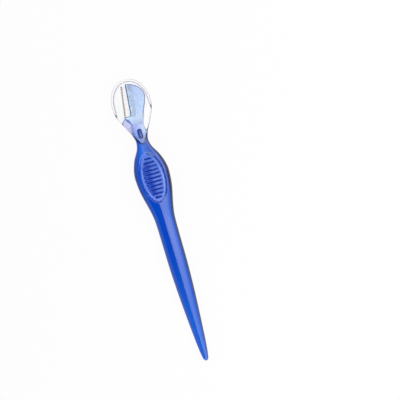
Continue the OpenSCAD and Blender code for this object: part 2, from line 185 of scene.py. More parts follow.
# Where colours start and how far they take to come in, as shares of a half width or of a pad's width
SIDE_SHARE, SIDE_FADE_SHARE = 0.55, 0.2
HORN_SHARE, HORN_FADE_SHARE = 0.7, 0.2
EDGE_SHARE, EDGE_FADE_SHARE = 0.78, 0.16
SHADE_SHARE, SHADE_FADE_SHARE = 0.8, 0.1
NECK_SPLIT_SHARE, LINE_START_SHARE = 0.4, 0.6

# The share of a groove's depth where its painted shade is full
GROOVE_FULL_SHARE = 0.5

# How far a face points up or down, from 1 where it lies flat, or to the left, for its colour to change
WALL_FLATNESS, CORE_FLATNESS, PLATE_FLATNESS = 0.5, 0.97, 0.99
CAP_FLATNESS, CAP_FLATNESS_FADE = 0.85, 0.6
BEAD_LEFTNESS = 0.35

# Curves of the handle: shares of its length against shares of the width or height that each follows,
# against the power of its rounded section for SQUARENESS_BY_SHARE, and against its share of the thin colour
WIDTH_SHARES = np.array([
    (0.008, 0.150), (0.042, 0.222), (0.085, 0.283), (0.118, 0.319), (0.186, 0.385), (0.254, 0.448),
    (0.321, 0.497), (0.423, 0.547), (0.558, 0.564), (0.625, 0.590), (0.659, 0.653), (0.693, 0.750),
    (0.727, 0.858), (0.760, 0.944), (0.807, 1.000), (0.832, 0.990), (0.862, 0.906), (0.896, 0.733),
    (0.930, 0.470), (0.946, 0.395), (0.968, NECK_W / GRIP_W), (1.000, MOUTH_W / GRIP_W)])
FRONT_SHARES = np.array([
    (0.000, -0.30), (0.110, 0.12), (0.250, 0.49), (0.420, 0.68), (0.620, 0.72), (0.717, 0.89),
    (0.811, 1.00), (0.870, 0.96), (0.945, CAP_T / GRIP_T), (1.000, CAP_T / GRIP_T)])
REAR_SHARES = np.array([
    (0.000, 1.00), (0.620, 1.00), (0.700, 0.98), (0.811, GRIP_T / 2 / REST_H),
    (0.870, 0.90), (0.945, CAP_T / 2 / REST_H), (1.000, CAP_T / 2 / REST_H)])
SQUARENESS_BY_SHARE = np.array([
    (0.000, 2.0), (0.600, 2.2), (0.811, 2.3), (0.900, 2.6), (0.960, 4.0), (1.000, 5.0)])
THIN_SHARES = np.array([
    (0.00, 1.0), (0.17, 0.9), (0.34, 0.4), (0.50, 0.05), (0.62, 0.0), (1.00, 0.0)])

# Side of the cap from its mouth to its widest place, and points of the head, as shares of their sizes
CAP_SIDE_SHARES = np.array([
    (0.000, 0.000), (0.125, 0.185), (0.293, 0.420), (0.485, 0.655), (0.630, 0.822),
    (0.798, 0.948), (1.000, 1.000)])
RIGHT_SHARES = np.array([
    (0.425, 0.190), (0.555, 0.322), (0.642, 0.400), (0.772, 0.486), (0.872, 0.569), (0.966, 0.650),
    (1.000, 0.720), (0.930, 0.800), (0.746, 0.881), (0.473, 0.941), (0.208, 0.974), (-0.065, 1.000)])
CORNER_X_SHARE = -0.250
FIN_SHARES = ((0.94, 0.86), (1.00, 0.76), (0.95, 0.58), (0.83, 0.33), (0.66, 0.07))
GUSSET_SHARES = (
    (-0.91, 0.875, 0.04), (-0.80, 0.83, 0.09), (-0.69, 0.755, 0.10),
    (-0.615, 0.665, 0.07), (-0.55, 0.58, 0.055))


def smooth(x, rows):
    """Smooth curve through the rows of a table, with each row's slope taken from its neighbours."""
    xs, ys = rows[:, 0], rows[:, 1]
    slopes = np.empty(len(xs))
    slopes[1:-1] = (ys[2:] - ys[:-2]) / (xs[2:] - xs[:-2])
    slopes[0] = (ys[1] - ys[0]) / (xs[1] - xs[0])
    slopes[-1] = (ys[-1] - ys[-2]) / (xs[-1] - xs[-2])
    x = np.clip(x, xs[0], xs[-1])
    i = np.clip(np.searchsorted(xs, x) - 1, 0, len(xs) - 2)
    span = xs[i + 1] - xs[i]
    u = (x - xs[i]) / span
    return ((2 * u**3 - 3 * u**2 + 1) * ys[i] + (u**3 - 2 * u**2 + u) * slopes[i] * span
            + (3 * u**2 - 2 * u**3) * ys[i + 1] + (u**3 - u**2) * slopes[i + 1] * span)


def through(points, steps):
    """Points on a smooth curve through a list of points, without its last one."""
    p = np.vstack([points[0], points, points[-1]])
    u = (np.arange(steps) / steps)[:, None]
    spans = []
    for a, b, c, d in zip(p[:-3], p[1:-2], p[2:-1], p[3:]):
        spans.append(0.5 * (2 * b + (c - a) * u + (2 * a - 5 * b + 4 * c - d) * u**2
                            + (3 * b - a - 3 * c + d) * u**3))
    return np.vstack(spans)


def arc(middle, radius, degrees):
    """Points of an arc, one for each direction."""
    return [middle + radius * np.array([math.cos(a), math.sin(a)]) for a in np.radians(degrees)]


def smoothstep(x):
    x = np.clip(x, 0.0, 1.0)
    return x * x * (3 - 2 * x)


# Meshes

def put(points):
    """Places in millimetres to the frame, in metres."""
    return (np.asarray(points, float) - ORIGIN) * MM


def new_object(name, points, faces):
    mesh = bpy.data.meshes.new(name)
    mesh.from_pydata(put(points).tolist(), [], faces)
    mesh.validate()
    piece = bpy.data.objects.new(name, mesh)
    bpy.context.scene.collection.objects.link(piece)
    return piece


def skin(name, rings):
    """Closed skin over rings of points that lie one after another."""
    count, n = rings.shape[:2]
    faces = []
    for i in range(count - 1):
        for j in range(n):
            a, b = i * n + j, i * n + (j + 1) % n
            faces.append((a, b, b + n, a + n))
    faces.append(tuple(range(n - 1, -1, -1)))
    faces.append(tuple(range((count - 1) * n, count * n)))
    return new_object(name, rings.reshape(-1, 3), faces)


def inset(outline, amount):
    """An outline that runs anticlockwise, moved inwards."""
    p = np.asarray(outline, float)
    before, after = p - np.roll(p, 1, 0), np.roll(p, -1, 0) - p
    before /= np.linalg.norm(before, axis=1)[:, None]
    after /= np.linalg.norm(after, axis=1)[:, None]
    normal = np.stack([-(before + after)[:, 1], (before + after)[:, 0]], 1)
    normal /= np.linalg.norm(normal, axis=1)[:, None]
    square = np.stack([-after[:, 1], after[:, 0]], 1)
    mitre = np.clip((normal * square).sum(1), MITRE_LEAST, 1.0)
    return p + normal * (amount / mitre)[:, None]


def slab(name, outline, low, high, radius=0.0, steps=4):
    """Flat piece between two heights, its rims rounded to a radius."""
    rings = []
    angles = np.linspace(0, math.pi / 2, steps + 1) if radius else [math.pi / 2]
    for z0, side in ((low, 1), (high, -1)):
        for a in angles[::side]:
            flat = inset(outline, radius * (1 - math.sin(a))) if radius else np.asarray(outline, float)
            height = z0 + side * radius * (1 - math.cos(a))
            rings.append(np.column_stack([flat, np.full(len(flat), height)]))
    return skin(name, np.array(rings))


def block(name, low, high):
    x0, y0, z0 = low
    x1, y1, z1 = high
    return slab(name, [(x0, y0), (x1, y0), (x1, y1), (x0, y1)], z0, z1)


def tube(name, path, radius, sides=16):
    """Round bar along a path in one plane, with its ends closed."""
    path = np.asarray(path, float)
    ahead = np.gradient(path, axis=0)
    ahead /= np.linalg.norm(ahead, axis=1)[:, None]
    across = np.cross(ahead, (0, 0, 1))
    turns = np.linspace(0, 2 * math.pi, sides, endpoint=False)
    rings = (path[:, None] + radius * (np.cos(turns)[None, :, None] * across[:, None]
             + np.sin(turns)[None, :, None] * np.array([0, 0, 1.0])))
    return skin(name, rings[:, ::-1])


def combine(piece, tool, operation):
    """Joins, cuts or meets a piece with a tool, and takes the tool away."""
    modifier = piece.modifiers.new(operation, "BOOLEAN")
    modifier.object = tool
    modifier.operation = operation
    modifier.solver = "MANIFOLD"
    depsgraph = bpy.context.evaluated_depsgraph_get()
    mesh = bpy.data.meshes.new_from_object(piece.evaluated_get(depsgraph))
    piece.modifiers.clear()
    old, piece.data = piece.data, mesh
    mesh.name = piece.name
    bpy.data.meshes.remove(old)
    bpy.data.objects.remove(tool)


def shade(piece, angle):
    """Smooth shading, with the edges that turn by more than an angle kept sharp."""
    mesh = piece.data
    mesh.shade_smooth()
    mesh.set_sharp_from_angle(angle=math.radians(angle))


def face_corners(piece):
    """For each corner of each face, its place and the face's middle and normal."""
    mesh = piece.data
    vertex, count = np.empty(len(mesh.loops), int), np.empty(len(mesh.polygons), int)
    places = np.empty(len(mesh.vertices) * 3)
    middles, normals = np.empty(len(mesh.polygons) * 3), np.empty(len(mesh.polygons) * 3)
    mesh.loops.foreach_get("vertex_index", vertex)
    mesh.polygons.foreach_get("loop_total", count)
    mesh.vertices.foreach_get("co", places)
    mesh.polygons.foreach_get("center", middles)
    mesh.polygons.foreach_get("normal", normals)
    place = (places.reshape(-1, 3) / MM + ORIGIN)[vertex]
    middle = np.repeat(middles.reshape(-1, 3) / MM + ORIGIN, count, axis=0)
    normal = np.repeat(normals.reshape(-1, 3), count, axis=0)
    return place, middle, normal


def store(piece, name, values):
    """Stores a colour or a number for each corner of each face, which a material reads by its name."""
    kind, field = ("FLOAT_VECTOR", "vector") if values.ndim == 2 else ("FLOAT", "value")
    layer = piece.data.attributes.new(name=name, type=kind, domain="CORNER")
    layer.data.foreach_set(field, values.ravel().astype(np.float32))


def blend(low, high, share):
    """Colours from low to high, one for each share."""
    return low + (high - low) * np.clip(share, 0, 1)[:, None]


# Handle

def tail_share(y):
    return np.sqrt(1 - (1 - np.minimum(y / TAIL_ROUND, 1)) ** 2)


def half_w(y):
    return GRIP_W / 2 * smooth(y / HANDLE_L, WIDTH_SHARES) * tail_share(y)


def front_z(y):
    return GRIP_T / 2 * smooth(y / HANDLE_L, FRONT_SHARES)


def rear_z(y):
    return -REST_H * np.minimum(1, smooth(y / HANDLE_L, REAR_SHARES))


def skin_z(x, y):
    """Heights of the handle's front and rear faces at a place, without the pads."""
    n = smooth(y / HANDLE_L, SQUARENESS_BY_SHARE)
    across = np.abs(x) / np.maximum(half_w(y), MIN_HALF)
    bulge = np.clip(1 - across**n, 0, 1) ** (1 / n)
    mid, thick = (front_z(y) + rear_z(y)) / 2, (front_z(y) - rear_z(y)) / 2 * tail_share(y)
    return mid + thick * bulge, mid - thick * bulge


def inside_oval(x, dy):
    """Distance inside the pad's oval, less than zero outside, and how far out a place lies as a share."""
    a, b = PAD_W / 2, PAD_L / 2
    share = np.sqrt((x / a) ** 2 + (dy / b) ** 2)
    steepness = np.sqrt((x / a**2) ** 2 + (dy / b**2) ** 2) / np.maximum(share, TINY)
    return (1 - share) / np.maximum(steepness, TINY), share


def groove_depth(x, dy):
    """Depth of the grooves at a place of the pad, from 0 to 1."""
    depth = np.zeros_like(x)
    reach = GROOVE_W / 2 + GROOVE_SOFT
    for i in range(GROOVE_N):
        y = (i - (GROOVE_N - 1) / 2) * GROOVE_PITCH
        half = (PAD_W / 2 - GROOVE_MARGIN) * math.sqrt(
            1 - (y / (PAD_L / 2 - GROOVE_MARGIN + GROOVE_W / 2)) ** 2)
        run = max(half - GROOVE_W / 2, GROOVE_W / 2)
        away = np.hypot(np.maximum(np.abs(x) - run, 0), dy - y) / reach
        depth = np.maximum(depth, np.clip(1 - away, 0, 1) ** GROOVE_LIP)
    return depth


def rim_share(x):
    """How much of the line round a pad there is, fading towards the blade's side."""
    return RIM_LEAST_SHARE + (1 - RIM_LEAST_SHARE) * smoothstep(x / PAD_W + RIM_START_SHARE)


def with_pad(x, y, z, crest, drop):
    """Height of one face of the grip with its pad. Heights count outwards from the middle plane."""
    dy = y - PAD_Y
    inside, share = inside_oval(x, dy)
    margin_share = 1 - GROOVE_MARGIN / (PAD_W / 2)
    pad = crest + PAD_RISE - drop * np.minimum(share / margin_share, 1) ** 2
    pad -= GROOVE_D * groove_depth(x, dy)
    rim = RIM_DEPTH * rim_share(x) * np.exp(-(((inside + RIM_OUT) / RIM_W) ** 2))
    on_pad = smoothstep((inside + PAD_EDGE) / (2 * PAD_EDGE))
    return (z - rim) * (1 - on_pad) + pad * on_pad


def handle_rings():
    """Rings of the handle's skin, dense where the pads are."""
    tip = TAIL_ROUND * (1 - np.cos(np.radians(TAIL_TURNS)))
    step = GROOVE_PITCH / GROOVE_STEPS
    reach = math.ceil((PAD_L / 2 + PAD_ROUND_ABOUT) / step)
    on_pad = PAD_Y + step * np.arange(-reach, reach + 1)
    pad_low, pad_high = on_pad[0], on_pad[-1]
    ys = np.concatenate([
        tip, np.linspace(TAIL_ROUND, pad_low, STEM_RINGS, endpoint=False), on_pad,
        np.linspace(pad_high, HANDLE_L, NECK_RINGS)[1:]])
    across = np.sin(np.radians(np.linspace(-90, 90, RING_POINTS)))
    rings = []
    for y in ys:
        x = half_w(y) * across
        top, bottom = skin_z(x, y)
        if pad_low < y < pad_high:
            top = with_pad(x, y, top, front_z(y), PAD_DROP)
            bottom = -np.minimum(with_pad(x, y, -bottom, -rear_z(y), REAR_DROP), REST_H)
        ring_x = np.concatenate([x[::-1], x[1:-1]])
        ring_z = np.concatenate([top[::-1], bottom[1:-1]])
        rings.append(np.column_stack([ring_x, np.full(len(ring_x), y), ring_z]))
    return np.array(rings)[:, ::-1]


def tongue_outline(grow, above):
    """The V of a tongue, anticlockwise, with its rounded tip."""
    slope = math.degrees(math.atan(MOUTH_W / 2 / TONGUE_L))
    middle = np.array([0, HANDLE_L - TONGUE_L + TONGUE_TIP_R])
    tip = arc(middle, TONGUE_TIP_R + grow, np.linspace(180 + slope, 360 - slope, num=25))
    side_x = MOUTH_W / 2 - TONGUE_TIP_R / 2 + grow
    return tip + [(side_x, HANDLE_L), (side_x, HANDLE_L + above), (-side_x, HANDLE_L + above),
                  (-side_x, HANDLE_L)]


def capsule(middle_y, length, width, steps=16):
    """Slot outline along Y with round ends."""
    middle = np.array([0, middle_y + (length - width) / 2])
    top = arc(middle, width / 2, np.linspace(0, 180, steps + 1))
    low = [(-x, 2 * middle_y - y) for x, y in top]
    return top + low


def make_handle():
    handle = skin("handle_body", handle_rings())
    seat_y = HANDLE_L - TONGUE_L + SEAT_L
    for side in (-1, 1):
        low, high = sorted((side * SEAT_T / 2, side * CAP_T))
        combine(handle, slab("ledge", tongue_outline(TONGUE_GAP, OVERRUN), low, high), "DIFFERENCE")
        low, high = sorted((side * CORE_T / 2, side * CAP_T))
        deep = slab("ledge", tongue_outline(TONGUE_GAP, OVERRUN), low, high)
        above = block("above_seat", (-MOUTH_W, seat_y, -CAP_T), (MOUTH_W, HANDLE_L + 2 * OVERRUN, CAP_T))
        combine(deep, above, "INTERSECT")
        combine(handle, deep, "DIFFERENCE")
    right = [(NECK_W / 2, HANDLE_L - TONGUE_L - OVERRUN), (NECK_W / 2, HANDLE_L - TONGUE_L / 2),
             (CORE_W / 2, HANDLE_L), (CORE_W / 2, HANDLE_L + CORE_RISE)]
    core = [(-NECK_W / 2, HANDLE_L - TONGUE_L - OVERRUN)] + right + [(-x, y) for x, y in right[:0:-1]]
    combine(handle, slab("core", core, -CORE_T / 2, CORE_T / 2, radius=CORE_ROUND), "UNION")
    well = slab("well", capsule(LUG_Y, WINDOW_L, WINDOW_W), CORE_T / 2 - WELL_D, CAP_T)
    combine(handle, well, "DIFFERENCE")
    combine(handle, slab("lug", capsule(LUG_Y, LUG_L, LUG_W), 0, LUG_TOP, radius=LUG_ROUND), "UNION")
    socket_foot = HANDLE_L + CORE_RISE - TANG_L - SOCKET_GAP
    socket = block("socket", (-TANG_W / 2 - SOCKET_GAP, socket_foot, -HEAD_T / 2 - SOCKET_GAP),
                   (TANG_W / 2 + SOCKET_GAP, HANDLE_L + CORE_RISE + OVERRUN, HEAD_T / 2 + SOCKET_GAP))
    combine(handle, socket, "DIFFERENCE")
    shade(handle, HANDLE_SHARP)
    place, middle, normal = face_corners(handle)
    store(handle, "tint", handle_tint(place, middle, normal))
    store(handle, "softness", pad_softness(place))
    return handle


def off_path(x, y, path):
    """Shortest distance of places from a line through the points of a path."""
    nearest = np.full(len(x), np.inf)
    for (x0, y0), (x1, y1) in zip(path[:-1], path[1:]):
        run_x, run_y = x1 - x0, y1 - y0
        share = np.clip(((x - x0) * run_x + (y - y0) * run_y) / (run_x**2 + run_y**2), 0, 1)
        nearest = np.minimum(nearest, np.hypot(x - x0 - share * run_x, y - y0 - share * run_y))
    return nearest


def tongue_half_w(y):
    """Half the width of the tongue's V at a height, less than zero below its tip."""
    return (y - HANDLE_L + TONGUE_L) * MOUTH_W / 2 / TONGUE_L


def pad_softness(place):
    """How matt the handle is, from 0 on its polished faces to 1 on the ribbed fields."""
    x, y = place[:, :2].T
    inside, _ = inside_oval(x, y - PAD_Y)
    return smoothstep((inside - GROOVE_MARGIN / 2) / (GROOVE_MARGIN / 2))


def body_tint(x, y, edge, on_pad):
    """Resin that is lighter where it is thin, with painted light on its right half, a clear blue neck with
    painted shade on its right half, and a painted glow along its sides.
    """
    tint = blend(DEEP_BLUE, THIN_BLUE, smooth(np.clip(y / HANDLE_L, 0, 1), THIN_SHARES))
    # Painted light: the right half lighter, where the key lamp falls
    tint = blend(tint, LIT_BLUE, smoothstep(x / LIT_SIDE_FADE) * smoothstep((y - LIT_START) / LIT_FADE))
    # Painted shade: the neck darker on its right half
    right = smoothstep(np.sign(x) * edge + NECK_SPLIT_SHARE)
    neck = blend(np.broadcast_to(NECK_BLUE, tint.shape), NECK_PAINTED_SHADE, right)
    tint += (neck - tint) * smoothstep((y - NECK_START) / NECK_FADE)[:, None]
    # Painted glow of light through the resin along the sides, off the pads
    return blend(tint, SIDE_GLOW_BLUE, smoothstep((edge - SIDE_SHARE) / SIDE_FADE_SHARE) * ~on_pad)


def pad_tint(tint, x, y, inside, near_pad):
    """Adds the pads: a painted sheen on the band round the ribbed field, brighter on the right, painted
    shade in the grooves and a painted shade line all round, strongest on the right.
    """
    # Painted sheen on the band round the ribbed field, brighter on the right
    band = blend(BAND_SHEEN_LEFT, BAND_SHEEN_RIGHT, x / PAD_W + 0.5)
    on_band = smoothstep((inside + PAD_EDGE) / BAND_FADE) * smoothstep((GROOVE_MARGIN - inside) / BAND_FADE)
    tint = blend(tint, band, near_pad * on_band)
    # Painted shade in the grooves
    in_groove = groove_depth(x, y - PAD_Y) / GROOVE_FULL_SHARE
    tint = blend(tint, GROOVE_SHADE_BLUE, near_pad * (inside > 0) * in_groove)
    # Painted shade line round the pad's step, strongest on the right
    line = smoothstep(x / PAD_W + LINE_START_SHARE) * np.exp(-(((inside + RIM_OUT) / RIM_W) ** 2))
    return blend(tint, RIM_SHADE_BLUE, near_pad * line)


def edge_tint(tint, x, y, edge):
    """Adds the dark sides, partly the resin's depth seen edge on and partly painted shade, more painted
    shade on the right edge, painted shade on the horns' sides and a painted shadow line round the tongues.
    """
    below = y < HANDLE_L
    # Dark sides: partly the resin's depth seen edge on, partly painted shade for the dark refraction at the
    # rim
    tint = blend(tint, EDGE_DEPTH_AND_SHADE_BLUE, smoothstep((edge - EDGE_SHARE) / EDGE_FADE_SHARE) * below)
    # Painted shade along the right edge only
    tint = blend(tint, RIGHT_EDGE_PAINTED_SHADE, smoothstep((edge - SHADE_SHARE) / SHADE_FADE_SHARE) * (x > 0) * below)
    # Painted shade on the horns' steep sides
    rise = smoothstep((y - HANDLE_L + TONGUE_L) / HORN_FADE)
    tint = blend(tint, HORN_SHADE_BLUE, smoothstep((edge - HORN_SHARE) / HORN_FADE_SHARE) * rise)
    # Painted shadow along the step and gap round the tongues' V
    off_v = np.full(len(x), np.inf)
    by_v = y > HANDLE_L - TONGUE_L - 2 * (V_LINE + V_FADE)
    outline = tongue_outline(TONGUE_GAP, OVERRUN)
    off_v[by_v] = off_path(x[by_v], y[by_v], outline[-1:] + outline[:-3])
    return blend(tint, V_SHADOW_BLUE, 1 - smoothstep((off_v - V_LINE) / V_FADE))


def paint_core(tint, place, middle, normal):
    """Paints the faces of the core between the horns, with painted shade on the seat's walls, on the core's
    rims and in the well, and the lug.
    """
    x, y = place[:, :2].T
    mx, my, mz = middle.T
    top, bottom = skin_z(mx, np.clip(my, 0, HANDLE_L))
    under_tongue = (mz < top - TONGUE_GAP) & (mz > bottom + TONGUE_GAP)
    under_tongue &= np.abs(mx) < tongue_half_w(my) + 2 * TONGUE_GAP
    in_seat = (my > HANDLE_L + SOCKET_GAP) | under_tongue
    wall = (np.abs(normal[:, 2]) < WALL_FLATNESS) & (my < HANDLE_L)
    off_lug = np.hypot(mx, np.maximum(np.abs(my - LUG_Y) - (WINDOW_L - WINDOW_W) / 2, 0))
    in_well = in_seat & (off_lug < WINDOW_W / 2 + SOCKET_GAP) & (mz > CORE_T / 2 - 2 * WELL_D)
    in_well &= np.abs(mz - CORE_T / 2) > WELL_D / 4
    core = blend(np.broadcast_to(CORE_LOW, place.shape), CORE_BLUE, (y - HANDLE_L + TONGUE_L) / TONGUE_L)
    core = blend(core, CORE_TOP, (y - HANDLE_L) / CORE_RISE) + x[:, None] * CORE_ACROSS
    tint[in_seat] = core[in_seat]
    # Painted shade on the walls of the seat beside the tongues
    tint[in_seat & wall] = EDGE_DEPTH_AND_SHADE_BLUE
    rim = (my > HANDLE_L) & (my < HANDLE_L + CORE_RISE - CORE_ROUND)
    rim &= (np.abs(normal[:, 2]) < CORE_FLATNESS) & (np.abs(mx) > CORE_W / 2 - CORE_ROUND)
    # Painted shade on the core's left rim, fainter on the right
    tint[rim & (mx < 0)] = STROKE_SHADE_BLUE
    tint[rim & (mx > 0)] = FAINT_STROKE_SHADE
    # Painted shade in the well round the lug
    tint[in_well] = WELL_SHADE_BLUE
    tint[in_well & (mz > LUG_TOP - WELL_D)] = LUG_BLUE


def handle_tint(place, middle, normal):
    """Colours of the handle by place, which stand for its thickness and its edges, with painted light, glow
    and shade on its body, pads, horns and core and a painted shadow round the tongues.
    """
    x, y = place[:, :2].T
    edge = np.abs(x) / np.maximum(half_w(np.minimum(y, HANDLE_L)), MIN_HALF)
    inside, _ = inside_oval(x, y - PAD_Y)
    near_pad = np.abs(y - PAD_Y) < PAD_L / 2 + PAD_ROUND_ABOUT
    tint = body_tint(x, y, edge, near_pad & (inside > 0))
    tint = pad_tint(tint, x, y, inside, near_pad)
    tint = edge_tint(tint, x, y, edge)
    paint_core(tint, place, middle, normal)
    return tint


# Head

def corner_arc(radius):
    """Arc round the hollow corner between the plate's blade side and its shoulder."""
    middle = np.array([CORNER_X_SHARE * HEAD_REACH - CORNER_R, HANDLE_L + SHOULDER_Y + CORNER_R])
    return arc(middle, radius, np.linspace(0, -90, num=10))


def plate_outline():
    """Outline of the plate above the core, anticlockwise."""
    right = through(RIGHT_SHARES, steps=8) * (HEAD_REACH, HEAD_L) + (0, HANDLE_L)
    top_left = RIGHT_SHARES[-1] * (HEAD_REACH, HEAD_L) + (0, HANDLE_L)
    bow = corner_arc(CORNER_R)
    tip = np.array([-SHOULDER_REACH + SHOULDER_R, HANDLE_L + SHOULDER_Y - SHOULDER_R])
    nose = arc(tip, SHOULDER_R, np.linspace(90, 240, num=11))
    foot = np.array([(-CORE_W / 2, HANDLE_L + CORE_RISE + OVERRUN), (-CORE_W / 2, HANDLE_L + CORE_RISE)])
    start = np.array([(CORE_W / 2, HANDLE_L + CORE_RISE)])
    return np.vstack([start, right, [top_left], bow, nose, foot])


def along_edge(u, v):
    """Place of a point given from the cutting edge inwards and up along the edge."""
    lean = math.radians(-BLADE_LEAN)
    return (-EDGE_X + u * math.cos(lean) - v * math.sin(lean),
            HANDLE_L + SHOULDER_Y + END_GAP + u * math.sin(lean) + v * math.cos(lean))


def bead_path():
    """Middle line of the bead, down the plate's blade side and round the corner to the shoulder."""
    half = BEAD_W / 2
    top = RIGHT_SHARES[-1] * (HEAD_REACH, HEAD_L) + (BEAD_IN, HANDLE_L - half)
    bow = corner_arc(CORNER_R + BEAD_IN)
    end = (-SHOULDER_REACH + 2 * SHOULDER_R, HANDLE_L + SHOULDER_Y - BEAD_IN)
    line = np.linspace(top, bow[0], num=12, endpoint=False)
    flat = np.vstack([line, bow, [end]])
    return np.column_stack([flat, np.full(len(flat), FRONT_FACE + BEAD_TOP - half)])


def fin_outline():
    """Outline of the fin beside the core, anticlockwise from the shoulder."""
    size = (-FIN_REACH, SHOULDER_Y)
    outer = through(np.array(FIN_SHARES), steps=5) * size + (0, HANDLE_L)
    last = np.array(FIN_SHARES[-1]) * size + (0, HANDLE_L)
    top, above = HANDLE_L + SHOULDER_Y - SHOULDER_R, HANDLE_L + CORE_RISE + SOCKET_GAP
    beside = -CORE_W / 2 - SOCKET_GAP
    return np.vstack([(-SHOULDER_REACH, top), outer, last, (beside, last[1]), (beside, above),
                      (beside + BEAD_W, above), (beside + BEAD_W, top)])


def gusset_outline():
    """Curved band under the shoulder, down to the core's side, anticlockwise."""
    rows = through(np.array(GUSSET_SHARES), steps=6) * (SHOULDER_REACH, SHOULDER_Y, SHOULDER_REACH)
    middle, half = rows[:, :2] + (0, HANDLE_L), rows[:, 2:]
    ahead = np.gradient(middle, axis=0)
    ahead /= np.linalg.norm(ahead, axis=1)[:, None]
    across = np.column_stack([-ahead[:, 1], ahead[:, 0]]) * half
    return np.vstack([middle - across, (middle + across)[::-1]])


def make_carrier():
    carrier = slab("head_plate", plate_outline(), BLADE_T / 2, FRONT_FACE, radius=PLATE_RIM)
    heel = slab("heel", plate_outline(), REAR_FACE, FRONT_FACE, radius=PLATE_RIM)
    below = block("below_shoulder", (-CAP_W, HANDLE_L, -CAP_T), (CAP_W, HANDLE_L + SHOULDER_Y, CAP_T))
    combine(heel, below, "INTERSECT")
    combine(carrier, heel, "UNION")
    combine(carrier, slab("fin", fin_outline(), -FIN_T / 2, FIN_T / 2, radius=PLATE_RIM), "UNION")
    combine(carrier, block("tang", (-TANG_W / 2, HANDLE_L + CORE_RISE - TANG_L, REAR_FACE),
                           (TANG_W / 2, HANDLE_L + CORE_RISE + OVERRUN, FRONT_FACE)), "UNION")
    combine(carrier, tube("bead", bead_path(), BEAD_W / 2), "UNION")
    combine(carrier, slab("gusset", gusset_outline(), BLADE_T, FRONT_FACE + GUSSET_RISE), "UNION")
    pocket = [along_edge(-BLADE_W, -END_GAP), along_edge(BLADE_W, -END_GAP),
              along_edge(BLADE_W, BLADE_L), along_edge(-BLADE_W, BLADE_L)]
    combine(carrier, slab("pocket", pocket, -BLADE_T / 2, BLADE_T / 2), "DIFFERENCE")
    for side in (-1, 1):
        middle = np.array(along_edge(STAKE_IN, BLADE_L / 2 + side * STAKE_GAP / 2))
        circle = arc(middle, STAKE_R, np.linspace(0, 360, num=32, endpoint=False))
        combine(carrier, slab("stake", circle, REAR_FACE, FRONT_FACE - PLATE_T / 2), "UNION")
    shade(carrier, PLATE_SHARP)
    store(carrier, "tint", carrier_tint(*face_corners(carrier)))
    return carrier


def carrier_tint(place, middle, normal):
    """Pale where the resin is a thin plate, with painted shade at its rims and down its left side, nearly
    clear in the side fin with painted shade at its rims, and a painted highlight on the bead over a painted
    shade line on its blade side.
    """
    rise = place[:, 1] - HANDLE_L - CORE_RISE
    tint = blend(NECK_PALE, PLATE_PALE, smoothstep(rise / PLATE_FADE))
    tint = blend(tint, TOP_PALE, smoothstep((place[:, 1] - HANDLE_L - HEAD_L) / TOP_FADE + 1))
    tint += place[:, :1] * PLATE_ACROSS
    mx, my, mz = middle.T
    up = my - HANDLE_L
    fin_side = -CORE_W / 2 - (up - CORE_RISE) / (SHOULDER_Y - CORE_RISE) * (SHOULDER_REACH - CORE_W / 2)
    on_fin = (up < SHOULDER_Y - SHOULDER_R) & (mx < np.minimum(fin_side, -CORE_W / 2))
    steep = (np.abs(normal[:, 2]) < PLATE_FLATNESS) & (up > CORE_RISE + PLATE_RIM)
    # Painted shade on the plate's steep rims, coming in above the core
    tint[steep] = blend(tint[steep], PLATE_RIM_SHADE, smoothstep(rise[steep] / RIM_FADE))
    below = (up < SHOULDER_Y - SHOULDER_R) & (mx < 0)
    # Painted shade down the plate's steep left side below the shoulder
    tint[below & steep] = STROKE_SHADE_BLUE
    tint[below & (np.abs(mz - FRONT_FACE - GUSSET_RISE) < GUSSET_RISE / 2)] = GUSSET_BLUE
    tint[on_fin] = FIN_CLEAR
    # Painted shade on the fin's steep rims
    tint[on_fin & steep] = FIN_RIM_SHADE
    # Painted highlight on the bead, with painted shade on its face towards the blade
    on_bead = mz > FRONT_FACE + SOCKET_GAP
    tint[on_bead] = BEAD_HIGHLIGHT
    tint[on_bead & (normal[:, 0] < -BEAD_LEFTNESS)] = BEAD_SHADE_LINE
    return tint


# Cap

def cap_half_w(y):
    side = MOUTH_W / 2 + (CAP_W - MOUTH_W) / 2 * smooth(np.clip(y / CAP_SIDE_L, 0, 1), CAP_SIDE_SHARES)
    up = np.clip((y - CAP_SIDE_L) / CAP_TOP_L, 0, 1)
    top = CAP_W / 2 * (1 - up**TOP_SQUARENESS) ** (1 / TOP_SQUARENESS)
    return np.where(y <= CAP_SIDE_L, side, top)


def cap_half_t(y):
    up = np.clip((y - CAP_SIDE_L) / CAP_TOP_L, 0, 1)
    return CAP_T / 2 * (1 - up**CAP_SQUARENESS) ** (1 / CAP_SQUARENESS)


def squared_ring(half_x, y, half_z, squareness, n=128):
    """Ring across Y whose section is a square with well rounded corners."""
    angles = np.linspace(0, 2 * math.pi, n, endpoint=False) + math.pi / n
    cos, sin = np.cos(angles), np.sin(angles)
    reach = (np.abs(cos) ** squareness + np.abs(sin) ** squareness) ** (-1 / squareness)
    return np.column_stack([half_x * cos * reach, np.full(n, y), half_z * sin * reach])[::-1]


def top_places(count):
    """Distances above the widest place, closer together towards the top, as shares of that length."""
    angles = np.radians(np.linspace(0, LAST_TURN, count)[1:])
    return np.sin(angles) ** (2 / TOP_SQUARENESS)


